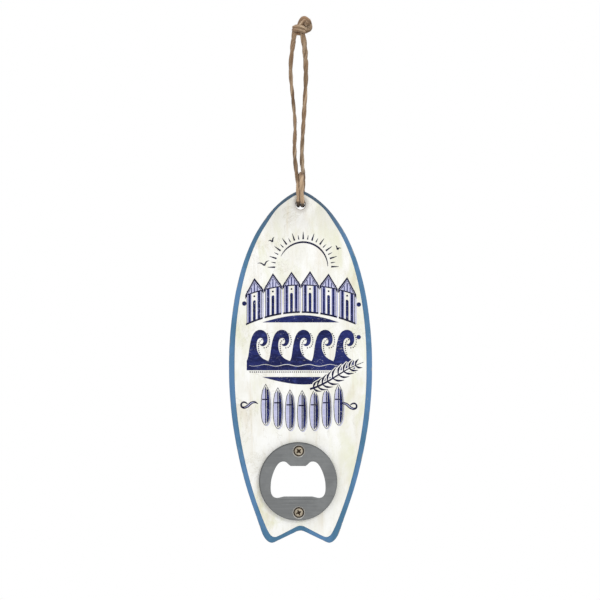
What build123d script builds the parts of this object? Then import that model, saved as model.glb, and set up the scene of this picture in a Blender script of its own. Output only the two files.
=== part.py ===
from build123d import *
import math
import os

# Hanging souvenir bottle opener: a surfboard-shaped wooden board with a
# printed face, a round steel cap lifter held by two screws, and a loop of
# twine through a hole in the nose.
#
# Frame: the opener hangs upright. +Z is up, the printed face looks along -Y
# and +X is to the right of someone facing it. The origin is the point inside
# the top of the twine loop where a nail or hook carries it. Millimetres.

os.makedirs("parts", exist_ok=True)

# ---------------------------------------------------------------- board
BOARD_T = 9.0              # board thickness, centred on Y = 0
BOARD_X = 1.03             # board centre line
HOLE_Z = -85.24            # hanging hole, the reference height of all outlines
HOLE_D = 4.9
HOLE_BREAK = 0.35          # broken edge of the hole
EDGE_ROUND = 0.7           # rounding of the painted edge, front and back
EDGE_STEPS = (90, 58, 28, 0)   # degrees round that edge, one layer each

# right half of the outline: (half width, height above the hole centre)
SIDE = [
    (0.00, 7.11), (4.06, 5.79), (9.14, 2.34), (13.77, -1.93), (18.59, -8.03),
    (22.45, -14.12), (25.48, -20.22), (29.01, -29.36), (31.62, -38.51),
    (33.55, -47.65), (34.87, -56.79), (35.81, -65.94), (36.32, -75.08),
    (36.40, -83.21), (36.27, -90.83), (35.74, -99.47), (34.82, -108.61),
    (33.45, -117.75), (31.70, -126.90), (29.57, -136.04), (27.00, -145.19),
    (23.95, -154.33), (20.75, -163.47),
]
TAIL_TIP = [(18.08, -169.57), (16.35, -171.25), (14.70, -171.85), (12.95, -171.40)]
TAIL_IN = (10.40, -170.15)     # start of the straight edge up to the notch
NOTCH = (1.90, -166.05)        # end of that edge
NOTCH_TOP = -165.68            # rounded top of the swallow-tail notch

# ---------------------------------------------------------------- printed face
PRINT_T = 0.25             # laminated print sheet on the front
PRINT_SIDE = [
    (0.00, 5.54), (3.81, 4.11), (8.18, 1.12), (11.70, -1.93), (16.15, -8.03),
    (19.94, -14.12), (23.00, -20.22), (26.45, -29.36), (28.98, -38.51),
    (30.84, -47.65), (32.13, -56.79), (32.98, -65.94), (33.42, -75.08),
    (33.50, -83.21), (33.37, -90.83), (32.87, -99.47), (31.95, -108.61),
    (30.62, -117.75), (28.90, -126.90), (26.80, -136.04), (24.28, -145.19),
    (21.20, -154.33), (17.60, -163.47),
]
PRINT_TIP = [(16.10, -166.52), (14.75, -168.20), (13.10, -168.80), (11.60, -168.40)]
PRINT_IN = (10.00, -167.65)
PRINT_NOTCH = (2.40, -163.70)
PRINT_NOTCH_TOP = -163.04

# ---------------------------------------------------------------- opener plate
PLATE_D = 39.7
PLATE_T = 2.0
PLATE_X = BOARD_X - 1.23   # the plate sits a little left of the centre line
PLATE_Z = HOLE_Z - 140.46
PLATE_BREAK = 0.25         # broken front edges
SCREW_DX = 0.35            # screw line, right of the plate centre
SCREW_UP = 15.4            # upper and lower screw, from the plate centre
SCREW_DOWN = -15.8
SCREW_HOLE_D = 3.3
SINK_D = 6.4               # mouth of the 90 degree countersinks
# right half of the board's cut-out about the plate centre, wider than the
# plate's opening all round so that only steel meets the cap
CUT_HALF = [
    (4.6, 9.35), (7.6, 11.30), (10.9, 10.30), (13.6, 6.40), (15.3, 1.10),
    (15.7, -3.60), (14.8, -8.10), (10.8, -10.10), (7.2, -9.50),
]

# right half of the cap opening about the plate centre: lifting tooth, ear,
# bowed side, foot corner and the raised flat at the bottom
TOOTH = (3.75, 7.85)
OPEN_HALF = [
    (4.42, 8.30), (5.25, 9.05), (6.10, 9.78), (7.50, 10.12), (9.20, 9.62),
    (10.46, 8.45), (11.30, 7.15), (12.14, 5.44), (12.90, 3.40), (13.46, 1.37),
    (13.78, -0.66), (13.92, -3.20), (13.84, -5.00), (13.35, -6.75),
    (12.35, -7.95), (10.90, -8.42), (9.20, -8.22),
]
FLOOR = (7.10, -7.72)

# ---------------------------------------------------------------- screws
SCREW_SUNK = 0.62          # rim of the head below the plate's face
HEAD_D = 4.9
HEAD_DOME = 0.42           # raised crown of the head
SHANK_D = 2.9              # over the thread, the board's pilot hole is this wide
CORE_D = 2.1
THREAD_PITCH = 1.25
SCREW_LONG = 8.9           # rim of the head to the point
CROSS_W = 0.62             # arms of the cross recess
CROSS_L = 2.9
CROSS_DEEP = 1.15

# ---------------------------------------------------------------- twine
TWINE_D = 2.1
# One length of two-ply twine. From the knot its left strand comes down in
# front of the nose, goes back through the hole, up behind and over the nose,
# down in front and through the hole a second time, and up behind the nose to
# become the right strand, which ends in the knot again.
TWINE_ROUTE = [
    (-1.93, 0.00, 3.25),
    (-3.10, 0.10, -4.37),
    (-4.37, 0.30, -17.07),
    (-2.84, 0.10, -30.78),
    (-1.52, -0.20, -44.50),
    (-2.24, -0.50, -56.69),
    (-1.37, -1.10, -66.60),
    (-0.42, -3.40, -72.64),
    (-0.12, -5.95, -76.34),
    (-0.06, -6.30, -79.94),
    (-0.07, -6.15, -83.29),
    (-0.07, -4.20, -85.24),
    (-0.07, 0.00, -85.36),
    (-0.07, 4.00, -85.24),
    (-0.07, 5.90, -83.34),
    (-0.05, 6.15, -80.04),
    (0.05, 6.05, -75.80),
    (0.14, 4.30, -72.00),
    (0.66, 1.10, -69.60),
    (1.46, -2.55, -69.30),
    (1.50, -5.75, -71.70),
    (1.60, -7.40, -75.40),
    (1.64, -7.75, -79.54),
    (1.90, -7.25, -83.15),
    (2.10, -4.80, -85.32),
    (2.13, 0.00, -85.36),
    (2.13, 4.00, -85.24),
    (2.13, 5.90, -83.34),
    (2.17, 6.15, -79.94),
    (2.32, 6.05, -75.94),
    (2.58, 4.50, -72.30),
    (2.42, 2.45, -68.70),
    (1.78, 1.10, -64.80),
    (1.68, 0.40, -56.69),
    (2.54, 0.20, -43.48),
    (3.35, 0.00, -30.28),
    (3.91, -0.10, -17.07),
    (3.35, 0.00, -5.89),
    (2.34, 0.00, 0.71),
    (1.63, 0.00, 4.01),
]

FRONT = -BOARD_T / 2
PRINT_FRONT = FRONT - PRINT_T
PLATE_FRONT = PRINT_FRONT - PLATE_T


# ---------------------------------------------------------------- helpers
def board_xz(u, w):
    return Vector(BOARD_X + u, 0, HOLE_Z + w)


def plate_xz(u, w):
    return Vector(PLATE_X + u, 0, PLATE_Z + w)


def slab(wire, y0, y1):
    """Closed outline in the XZ plane, as a solid from Y = y0 to y1."""
    face = Face(wire)
    if face.normal_at().Y < 0:
        face = -face
    solid = Solid.extrude(face.moved(Location((0, y0, 0))), Vector(0, y1 - y0, 0))
    return solid


def outline(side, tip, tail_in, notch, notch_top, inset=0.0):
    """Surfboard outline from its right half, mirrored, and drawn in evenly by inset."""
    run = math.dist(tail_in, notch)
    up = ((notch[0] - tail_in[0]) / run, (notch[1] - tail_in[1]) / run)
    ring = side + tip + [tail_in, notch, (0.0, notch_top)]
    moved = []
    for i, (u, w) in enumerate(ring):
        if i == 0:
            d = (1.0, 0.0)
        elif i == len(ring) - 1:
            d = (-1.0, 0.0)
        elif ring[i] in (tail_in, notch):
            d = up
        else:
            d = (ring[i + 1][0] - ring[i - 1][0], ring[i + 1][1] - ring[i - 1][1])
        n = math.hypot(*d)
        # the wood lies to the right of the direction of travel
        moved.append((u + inset * d[1] / n, w - inset * d[0] / n))
    half, a, b, c = moved[:-3], moved[-3], moved[-2], moved[-1]
    round_nose = [(-u, w) for u, w in half[:0:-1]] + half
    left = [(-a[0], a[1])] + round_nose + [a]
    return Wire(
        [
            Edge.make_spline([board_xz(u, w) for u, w in left]),
            Edge.make_line(board_xz(*a), board_xz(*b)),
            Edge.make_three_point_arc(board_xz(*b), board_xz(*c), board_xz(-b[0], b[1])),
            Edge.make_line(board_xz(-b[0], b[1]), board_xz(-a[0], a[1])),
        ]
    )


def opening(half):
    """Closed outline about the plate centre from its right half: flat top and
    bottom, and one smooth curve down each side."""
    right = [plate_xz(u, w) for u, w in half]
    left = [plate_xz(-u, w) for u, w in half]
    return Wire(
        [
            Edge.make_line(left[0], right[0]),
            Edge.make_spline(right),
            Edge.make_line(right[-1], left[-1]),
            Edge.make_spline(left[::-1]),
        ]
    )


def y_cylinder(x, z, r, y0, y1):
    return Solid.make_cylinder(r, y1 - y0, Plane((x, y0, z), x_dir=(1, 0, 0), z_dir=(0, 1, 0)))


def y_cone(x, z, r0, r1, y0, y1):
    return Solid.make_cone(r0, r1, y1 - y0, Plane((x, y0, z), x_dir=(1, 0, 0), z_dir=(0, 1, 0)))


def one(shape):
    """The single solid of a boolean's result."""
    solids = shape.solids()
    assert len(solids) == 1, len(solids)
    return solids[0]


def write(shape, node, count=1):
    solids = shape.solids()
    assert len(solids) == count, (node, len(solids))
    shape.label = node
    export_step(shape, "parts/" + node + ".step")
    b = shape.bounding_box()
    print(
        f"{node}: {shape.volume:.1f} mm3, "
        f"x {b.min.X:.2f}..{b.max.X:.2f}, y {b.min.Y:.2f}..{b.max.Y:.2f}, z {b.min.Z:.2f}..{b.max.Z:.2f}"
    )
    return shape


screw_x = PLATE_X + SCREW_DX
screw_zs = {"upper_screw": PLATE_Z + SCREW_UP, "lower_screw": PLATE_Z + SCREW_DOWN}

# ---------------------------------------------------------------- board
layers = []
for a in EDGE_STEPS:
    back = EDGE_ROUND * (1 - math.sin(math.radians(a)))
    drawn_in = EDGE_ROUND * (1 - math.cos(math.radians(a)))
    layers.append((FRONT + back, drawn_in))
layers += [(-y, d) for y, d in layers[::-1]]
board = Solid.make_loft(
    [
        outline(SIDE, TAIL_TIP, TAIL_IN, NOTCH, NOTCH_TOP, d).moved(Location((0, y, 0)))
        for y, d in layers
    ],
    ruled=True,
)
board = one(board - slab(opening(CUT_HALF), FRONT - 1, -FRONT + 1))
board = one(board - y_cylinder(BOARD_X, HOLE_Z, HOLE_D / 2, FRONT - 1, -FRONT + 1))
for s in (-1, 1):
    y = s * BOARD_T / 2
    r_out, r_in = HOLE_D / 2 + HOLE_BREAK, HOLE_D / 2
    if s < 0:
        tool = y_cone(BOARD_X, HOLE_Z, r_out, r_in, y, y + HOLE_BREAK)
    else:
        tool = y_cone(BOARD_X, HOLE_Z, r_in, r_out, y - HOLE_BREAK, y)
    board = one(board - tool)
screw_seat = PLATE_FRONT + SCREW_SUNK      # Y of the head's rim
screw_point = screw_seat + SCREW_LONG
for z in screw_zs.values():
    board = one(board - y_cylinder(screw_x, z, SHANK_D / 2, FRONT - 0.5, screw_point - 1.5))
    board = one(
        board - y_cone(screw_x, z, SHANK_D / 2, 0.15, screw_point - 1.5, screw_point + 0.12)
    )
write(board, "board")

# ---------------------------------------------------------------- printed face
sheet = slab(
    outline(PRINT_SIDE, PRINT_TIP, PRINT_IN, PRINT_NOTCH, PRINT_NOTCH_TOP), PRINT_FRONT, FRONT
)
sheet = one(sheet - slab(opening(CUT_HALF), PRINT_FRONT - 1, FRONT + 1))
sheet = one(
    sheet - y_cylinder(BOARD_X, HOLE_Z, HOLE_D / 2 + HOLE_BREAK, PRINT_FRONT - 1, FRONT + 1)
)
for z in screw_zs.values():
    sheet = one(sheet - y_cylinder(screw_x, z, 1.8, PRINT_FRONT - 1, FRONT + 1))
write(sheet, "front_print")

# ---------------------------------------------------------------- opener plate
plate = y_cylinder(PLATE_X, PLATE_Z, PLATE_D / 2, PLATE_FRONT, PRINT_FRONT)
plate = plate.fillet(
    PLATE_BREAK, [e for e in plate.edges() if abs(e.center().Y - PLATE_FRONT) < 1e-3]
)
plate = one(plate - slab(opening([TOOTH] + OPEN_HALF + [FLOOR]), PLATE_FRONT - 1, PRINT_FRONT + 1))
sink_deep = (SINK_D - SCREW_HOLE_D) / 2
for z in screw_zs.values():
    plate = one(plate - y_cylinder(screw_x, z, SCREW_HOLE_D / 2, PLATE_FRONT - 1, PRINT_FRONT + 1))
    plate = one(
        plate
        - y_cone(screw_x, z, SINK_D / 2 + 0.5, SCREW_HOLE_D / 2, PLATE_FRONT - 0.5, PLATE_FRONT + sink_deep)
    )
write(plate, "opener_plate")


# ---------------------------------------------------------------- screws
def screw(z0, turn):
    """Raised countersunk wood screw along +Y, its rim at Y = 0, turned from a profile."""
    head_r = HEAD_D / 2 - 0.06
    neck_r = CORE_D / 2 + 0.2
    cone_deep = head_r - neck_r
    # profile in (radius, y)
    pts = [(0.0, -HEAD_DOME), (head_r * 0.55, -HEAD_DOME * 0.72), (head_r - 0.12, -0.06), (head_r, 0.10)]
    pts += [(neck_r, 0.10 + cone_deep), (neck_r, 2.1)]
    y = 2.1
    pts.append((CORE_D / 2, y + 0.2))
    while y + THREAD_PITCH < SCREW_LONG - 1.6:
        pts += [
            (CORE_D / 2, y + 0.45),
            (SHANK_D / 2 - 0.02, y + 0.80),
            (SHANK_D / 2 - 0.02, y + 0.92),
            (CORE_D / 2, y + 1.15),
        ]
        y += THREAD_PITCH
    pts += [(CORE_D / 2, SCREW_LONG - 1.5), (0.0, SCREW_LONG)]
    clean = [pts[0]]
    for q in pts[1:]:
        if math.dist(q, clean[-1]) > 1e-4:
            clean.append(q)
    wire = Wire.make_polygon([Vector(r, yy, 0) for r, yy in clean], close=True)
    body = Solid.revolve(Face(wire), 360, Axis((0, 0, 0), (0, 1, 0)))
    for a in (45, 135):
        bar = Solid.make_box(CROSS_L, CROSS_DEEP + 1, CROSS_W).moved(
            Location((-CROSS_L / 2, -HEAD_DOME - 1 + 0.0, -CROSS_W / 2))
        )
        bar = bar.rotate(Axis((0, 0, 0), (0, 1, 0)), a + turn)
        body = body - bar
    pit = y_cone(0, 0, 0.95, 0.25, -HEAD_DOME - 0.1, -HEAD_DOME + CROSS_DEEP + 0.35)
    body = one(body - pit)
    return body.moved(Location((screw_x, screw_seat, z0)))


for name, z in screw_zs.items():
    write(screw(z, {"upper_screw": 4, "lower_screw": 22}[name]), name)

# ---------------------------------------------------------------- twine
pts = [Vector(*q) for q in TWINE_ROUTE]
runs = [(b - a).length for a, b in zip(pts, pts[1:])]
radii = []
for i in range(1, len(pts) - 1):
    turn = (pts[i] - pts[i - 1]).get_angle(pts[i + 1] - pts[i])
    radii.append(0.45 * min(runs[i - 1], runs[i]) / math.tan(math.radians(turn / 2)))
print("twine runs", [round(r, 1) for r in runs])
print("twine radii", [round(r, 1) for r in radii])
path = FilletPolyline(*pts, radius=radii)
path = Wire(path.edges())
start_dir = (pts[1] - pts[0]).normalized()
section = Face(Wire.make_circle(TWINE_D / 2, Plane(origin=pts[0], z_dir=start_dir)))
tube = Solid.sweep(section, path)
print(
    f"twine length {path.length:.1f} mm, volume {tube.volume:.1f}, "
    f"section x length {math.pi * TWINE_D**2 / 4 * path.length:.1f}"
)
write(tube, "hanging_twine")


# ---------------------------------------------------------------- knot
def lump(x, y, z, rx, r):
    """Egg shape turned about its own X axis."""
    arc = Edge.make_spline(
        [Vector(-rx, 0, 0), Vector(-0.707 * rx, 0.707 * r, 0), Vector(0, r, 0),
         Vector(0.707 * rx, 0.707 * r, 0), Vector(rx, 0, 0)],
        tangents=[Vector(0, 1, 0), Vector(0, -1, 0)],
    )
    base = Edge.make_line(Vector(rx, 0, 0), Vector(-rx, 0, 0))
    body = Solid.revolve(Face(Wire([arc, base])), 360, Axis((0, 0, 0), (1, 0, 0)))
    return body.moved(Location((x, y, z)))


def rod(a, b, r):
    a, b = Vector(*a), Vector(*b)
    return Solid.make_cylinder(r, (b - a).length, Plane(origin=a, z_dir=(b - a).normalized()))


# pulled-tight overhand knot of both strands, with two short cut tails
knot = lump(2.0, 0.0, 5.2, 4.0, 3.1)
knot = knot + lump(-1.5, 0.1, 4.3, 1.9, 2.1)
knot = knot + rod((2.4, 0.2, 6.4), (2.1, 0.6, 10.6), 1.15)
knot = knot + rod((4.2, 0.6, 5.6), (5.2, -3.3, 6.3), 1.9)
knot = one(knot)
write(knot, "twine_knot")
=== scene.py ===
import math
import random

import bpy
import numpy as np
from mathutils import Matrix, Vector, geometry


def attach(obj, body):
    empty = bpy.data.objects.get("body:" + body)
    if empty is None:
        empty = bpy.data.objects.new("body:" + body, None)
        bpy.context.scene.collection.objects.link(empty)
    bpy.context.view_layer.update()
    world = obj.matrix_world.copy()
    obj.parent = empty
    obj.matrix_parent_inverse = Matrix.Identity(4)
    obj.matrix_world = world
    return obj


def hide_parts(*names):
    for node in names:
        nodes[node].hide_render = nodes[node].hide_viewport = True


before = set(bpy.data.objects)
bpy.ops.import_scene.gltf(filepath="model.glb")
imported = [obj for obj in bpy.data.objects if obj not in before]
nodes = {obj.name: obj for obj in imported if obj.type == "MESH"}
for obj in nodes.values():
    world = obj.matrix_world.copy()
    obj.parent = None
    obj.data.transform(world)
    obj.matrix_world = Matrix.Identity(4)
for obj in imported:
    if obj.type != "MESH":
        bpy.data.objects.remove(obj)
scene = bpy.context.scene
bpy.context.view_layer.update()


# ============================================================ camera
cam_data = bpy.data.cameras.new("main_camera")
cam_data.lens = 135.0
cam_data.sensor_width = 36.0
cam_data.clip_start = 0.05
cam_data.clip_end = 50.0
camera = bpy.data.objects.new("main_camera", cam_data)
scene.collection.objects.link(camera)
camera.location = (0.000762, -(0.00475 + 1.143), -0.13365)
camera.rotation_euler = (math.radians(90), 0, 0)
scene.camera = camera

scene.view_settings.view_transform = "Standard"
scene.view_settings.look = "None"
scene.view_settings.exposure = 0.0
scene.view_settings.gamma = 1.0


# ============================================================ mesh helpers
def new_object(name, verts, faces, mat=None, smooth=False, tone=None):
    me = bpy.data.meshes.new(name)
    me.from_pydata([tuple(v) for v in verts], [], [tuple(f) for f in faces])
    me.validate()
    me.update()
    if smooth:
        me.polygons.foreach_set("use_smooth", [True] * len(me.polygons))
    if tone is not None:
        at = me.attributes.new("fibre_tone_and_groove_shade", "FLOAT", "POINT")
        at.data.foreach_set("value", np.asarray(tone, np.float32))
    ob = bpy.data.objects.new(name, me)
    scene.collection.objects.link(ob)
    if mat is not None:
        me.materials.append(mat)
    return ob


def spline_points(points, resolution):
    """Points of a smooth NURBS spline whose control points are these, as Blender gives them."""
    cu = bpy.data.curves.new("route", "CURVE")
    cu.dimensions = "3D"
    cu.resolution_u = resolution
    sp = cu.splines.new("NURBS")
    sp.points.add(len(points) - 1)
    for p, c in zip(sp.points, points):
        p.co = (c[0], c[1], c[2], 1.0)
    sp.order_u = 3
    sp.use_endpoint_u = True
    ob = bpy.data.objects.new("route", cu)
    scene.collection.objects.link(ob)
    bpy.context.view_layer.update()
    me = bpy.data.meshes.new_from_object(ob)
    pts = np.array([v.co[:] for v in me.vertices], float)
    bpy.data.objects.remove(ob)
    bpy.data.curves.remove(cu)
    bpy.data.meshes.remove(me)
    keep = [0]
    for i in range(1, len(pts)):
        if np.linalg.norm(pts[i] - pts[keep[-1]]) > 2e-5:
            keep.append(i)
    return pts[keep]


def frames(pts):
    """Arc length, tangent and two normals at each point, carried along without twist."""
    seg = np.linalg.norm(np.diff(pts, axis=0), axis=1)
    s = np.concatenate([[0], np.cumsum(seg)])
    t = np.gradient(pts, axis=0)
    t /= np.linalg.norm(t, axis=1)[:, None]
    up = np.array([1.0, 0.0, 0.0])
    if abs(t[0] @ up) > 0.8:
        up = np.array([0.0, 1.0, 0.0])
    n = np.zeros_like(pts)
    n[0] = up - (up @ t[0]) * t[0]
    n[0] /= np.linalg.norm(n[0])
    for i in range(1, len(pts)):
        v = n[i - 1] - (n[i - 1] @ t[i]) * t[i]
        n[i] = v / np.linalg.norm(v)
    return s, t, n, np.cross(t, n)


def wander(rng, s, step, low, high):
    """Smooth random value along s, one new value each step."""
    count = int(s[-1] / step) + 4
    knots = np.array([rng.uniform(low, high) for _ in range(count)])
    x = s / step
    i = np.clip(x.astype(int), 0, count - 2)
    f = x - i
    f = f * f * (3 - 2 * f)
    return knots[i] * (1 - f) + knots[i + 1] * f


def strand(pts, seed, scale=1.0, lay=0.0150, around=26, flare_end=0.0, hair=None, hairs_per_mm=0.0, width=None):
    """Two-ply twisted twine along the points: two closed fluted plies. Returns verts, faces, tone.
    flare_end spreads the plies over the last 3 mm, width is a factor along the length, and hair
    collects loose fibres."""
    rng = random.Random(seed)
    s, t, n, b = frames(pts)
    ply_r, ply_d = 0.00082 * scale, 0.00027 * scale
    verts, faces, tones = [], [], []
    turn = 2 * math.pi * s / lay + rng.uniform(0, 6.28) + wander(rng, s, 0.011, -0.8, 0.8)
    swell = wander(rng, s, 0.0055, 0.93, 1.07)
    if width is not None:
        swell = swell * width(s)
    open_up = 1 + flare_end * np.clip(1 - (s[-1] - s) / 0.003, 0, 1) ** 1.5
    ridges = 9
    for ply in range(2):
        phi = turn + ply * math.pi
        centre = pts + (ply_d * swell * (open_up * 1.5 - 0.5))[:, None] * (
            np.cos(phi)[:, None] * n + np.sin(phi)[:, None] * b)
        # the section turns with the ply
        u = np.cos(phi)[:, None] * n + np.sin(phi)[:, None] * b
        w = -np.sin(phi)[:, None] * n + np.cos(phi)[:, None] * b
        ridge_tone = [wander(rng, s, rng.uniform(0.0030, 0.0070), 0.0, 1.0) for _ in range(ridges)]
        ridge_high = [wander(rng, s, 0.0040, 0.1, 1.0) for _ in range(ridges)]
        ply_tone = wander(rng, s, 0.008, -0.20, 0.20) + rng.uniform(-0.06, 0.06)
        spin = -2 * math.pi * s / (lay * 1.9) + wander(rng, s, 0.012, -0.6, 0.6) + rng.uniform(0, 6.28)
        base = len(verts)
        ring = []
        for i in range(len(pts)):
            row = []
            for k in range(around):
                a = 2 * math.pi * k / around
                at = (a - spin[i]) / (2 * math.pi) * ridges
                j = int(math.floor(at)) % ridges
                f = at - math.floor(at)
                bump = math.sin(math.pi * f)
                high = ridge_high[j][i]
                r = ply_r * swell[i] * (1 + 0.25 * (open_up[i] - 1)) * (0.86 + 0.20 * high * bump)
                # squeezed against the other ply
                ca, sa = math.cos(a), math.sin(a)
                squeeze = 1.0 - 0.12 * max(0.0, -ca)
                p = centre[i] + r * squeeze * (ca * u[i] + sa * 1.06 * w[i])
                verts.append(p)
                # painted shade: the tone drops between the fibre ridges, on top of each ridge's random tone
                tone = ridge_tone[j][i] * 0.86 + 0.12 + ply_tone[i] - 0.42 * (1 - bump) ** 1.5
                tones.append(min(1.0, max(0.0, tone)))
                row.append(base + i * around + k)
            ring.append(row)
        for i in range(len(pts) - 1):
            for k in range(around):
                k2 = (k + 1) % around
                faces.append((ring[i][k], ring[i][k2], ring[i + 1][k2], ring[i + 1][k]))
        for end, row in ((0, ring[0][::-1]), (-1, ring[-1])):
            c = centre[end] + (t[end] * (ply_r * 0.25 * (1 if end else -1)))
            ci = len(verts)
            verts.append(c)
            tones.append(0.12)
            for k in range(around):
                faces.append((ci, row[k], row[(k + 1) % around]))
    if hair is not None:
        total = int(s[-1] * 1000 * hairs_per_mm)
        for _ in range(total):
            i = rng.randrange(2, len(pts) - 2)
            a = rng.uniform(0, 2 * math.pi)
            out = math.cos(a) * n[i] + math.sin(a) * b[i]
            side = np.cross(t[i], out)
            way = rng.choice((-1, 1))
            length = rng.uniform(0.0009, 0.0034)
            lift = rng.uniform(0.12, 0.42)
            p = pts[i] + out * (ply_r * 1.25)
            d = t[i] * way + out * lift + side * rng.uniform(-0.5, 0.5)
            d /= np.linalg.norm(d)
            curl = out * rng.uniform(-0.35, 0.10) + side * rng.uniform(-0.3, 0.3)
            pass_pts = []
            for q in range(5):
                f = q / 4
                pass_pts.append(p + d * length * f + curl * length * f * f * 0.6)
            hair.append((np.array(pass_pts), rng.uniform(0.000022, 0.00004), rng.uniform(0.35, 1.0)))
    return verts, faces, tones


def merge(parts):
    verts, faces, tones = [], [], []
    for v, f, t in parts:
        o = len(verts)
        verts += list(v)
        faces += [tuple(i + o for i in q) for q in f]
        tones += list(t)
    return verts, faces, tones


def hair_mesh(hairs):
    """Thin closed fibres, three-sided and tapering to their tips."""
    verts, faces, tones = [], [], []
    for pts, r, tone in hairs:
        _, t, n, b = frames(pts)
        rows = []
        for i in range(len(pts)):
            ri = r * (1 - 0.75 * i / (len(pts) - 1))
            row = []
            for k in range(3):
                a = 2 * math.pi * k / 3
                row.append(len(verts))
                verts.append(pts[i] + ri * (math.cos(a) * n[i] + math.sin(a) * b[i]))
                tones.append(tone)
            rows.append(row)
        for i in range(len(pts) - 1):
            for k in range(3):
                k2 = (k + 1) % 3
                faces.append((rows[i][k], rows[i][k2], rows[i + 1][k2], rows[i + 1][k]))
        faces.append(tuple(rows[0][::-1]))
        faces.append(tuple(rows[-1]))
    return verts, faces, tones


# ============================================================ twine
TWINE_ROUTE = [
    (-0.00193, 0.00000, 0.00325), (-0.00310, 0.00010, -0.00437), (-0.00437, 0.00030, -0.01707),
    (-0.00284, 0.00010, -0.03078), (-0.00152, -0.00020, -0.04450), (-0.00224, -0.00050, -0.05669),
    (-0.00137, -0.00110, -0.06660), (-0.00042, -0.00340, -0.07264), (-0.00012, -0.00595, -0.07634),
    (-0.00006, -0.00630, -0.07994), (-0.00007, -0.00615, -0.08329), (-0.00007, -0.00420, -0.08524),
    (-0.00007, 0.00000, -0.08536), (-0.00007, 0.00400, -0.08524), (-0.00007, 0.00590, -0.08334),
    (-0.00005, 0.00615, -0.08004), (0.00005, 0.00605, -0.07580), (0.00014, 0.00430, -0.07200),
    (0.00066, 0.00110, -0.06960), (0.00146, -0.00255, -0.06930), (0.00150, -0.00575, -0.07170),
    (0.00160, -0.00740, -0.07540), (0.00164, -0.00775, -0.07954),
    (0.00190, -0.00725, -0.08315), (0.00210, -0.00480, -0.08532), (0.00213, 0.00000, -0.08536),
    (0.00213, 0.00400, -0.08524), (0.00213, 0.00590, -0.08334), (0.00217, 0.00615, -0.07994),
    (0.00232, 0.00605, -0.07594), (0.00258, 0.00450, -0.07230), (0.00242, 0.00245, -0.06870),
    (0.00178, 0.00110, -0.06480),
    (0.00168, 0.00040, -0.05669), (0.00254, 0.00020, -0.04348), (0.00335, 0.00000, -0.03028),
    (0.00391, -0.00010, -0.01707), (0.00335, 0.00000, -0.00589), (0.00234, 0.00000, 0.00071),
    (0.00163, 0.00000, 0.00401),
]

hair = []
route = spline_points(TWINE_ROUTE, 26)


def twine_width(s):
    """Hand-spun twine is thick and thin: factors along it from its left and its right end at the knot."""
    near, far = s * 1000, (s[-1] - s) * 1000
    left = np.interp(near, [0, 4, 13, 21, 35, 48, 61, 70, 77, 84, 89], [1.38, 1.34, 1.08, 1.00, 0.90, 0.88, 0.92, 1.02, 1.15, 1.14, 1.02])
    right = np.interp(far, [0, 5, 14, 22, 35, 49, 61, 70, 80, 100, 105, 117, 119], [1.34, 1.38, 1.34, 1.26, 1.04, 1.10, 0.98, 1.08, 1.04, 1.02, 1.12, 1.12, 1.04])
    return np.where(near < far, left, right)


twine_mesh = strand(route, 11, width=twine_width, hair=hair, hairs_per_mm=1.1)


def mm(*rows):
    return [(x / 1000, y / 1000, z / 1000) for x, y, z in rows]


# The pulled-tight overhand knot of both strands, run by run, with its cut tail.
KNOT_RUNS = [
    # lower and upper wrap round the front, side by side
    dict(points=mm((1.6, 1.5, 4.0), (-0.4, 1.5, 3.9), (-2.0, 0.9, 3.95), (-2.35, -0.4, 4.0), (-1.3, -1.6, 4.0),
                   (0.6, -2.10, 3.75), (2.3, -1.90, 3.35), (3.9, -1.0, 3.4), (4.5, 0.5, 4.0), (3.0, 1.6, 4.8)),
         seed=21, scale=1.16, lay=0.022),
    dict(points=mm((1.8, 1.4, 5.7), (-0.2, 1.5, 5.6), (-1.8, 0.9, 5.6), (-2.15, -0.4, 5.6), (-1.2, -1.5, 5.6),
                   (0.5, -2.00, 5.35), (2.0, -1.95, 4.95), (3.3, -1.1, 4.6), (4.4, 0.3, 4.8), (3.3, 1.6, 5.8)),
         seed=22, scale=1.18, lay=0.022),
    # lobe round the right-hand side and over the top
    dict(points=mm((2.2, -1.2, 3.8), (3.7, -1.5, 3.55), (5.2, -1.1, 3.9), (6.05, -0.5, 5.2), (6.05, -0.1, 7.0),
                   (5.5, 0.2, 8.6), (4.3, 0.3, 9.65), (2.8, 0.6, 9.4), (1.9, 1.0, 7.6)),
         seed=23, scale=1.12, lay=0.018),
    # back of the knot
    dict(points=mm((-1.4, 0.6, 3.4), (0.2, 1.8, 4.2), (2.0, 2.0, 5.2), (3.9, 1.4, 6.4), (4.2, 0.8, 8.0)), seed=24),
    dict(points=mm((3.8, 1.0, 3.6), (2.2, 1.9, 4.6), (0.6, 1.6, 6.2), (0.9, 0.9, 7.8)), seed=28),
    # bottom of the loop, between the two strands
    dict(points=mm((-2.0, 0.5, 3.0), (-1.0, -0.2, 2.30), (0.4, -0.4, 2.05), (1.7, 0.0, 2.3), (2.6, 0.6, 3.6)),
         seed=25, scale=0.80),
    # run that goes up and bends over the top
    dict(points=mm((-0.1, 0.1, 4.9), (0.6, -0.7, 6.3), (1.4, -1.0, 8.0), (2.5, -0.8, 9.75), (4.1, -0.3, 9.3), (5.1, 0.3, 7.6)),
         seed=26, scale=1.45, lay=0.020),
    # tail that comes forward, frayed open
    dict(points=mm((2.8, 0.9, 5.5), (3.9, -0.2, 6.3), (4.65, -1.5, 6.85), (4.8, -2.5, 7.05), (4.85, -3.1, 7.1)),
         seed=27, scale=1.48, flare_end=0.50, lay=0.016),
]


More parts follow.
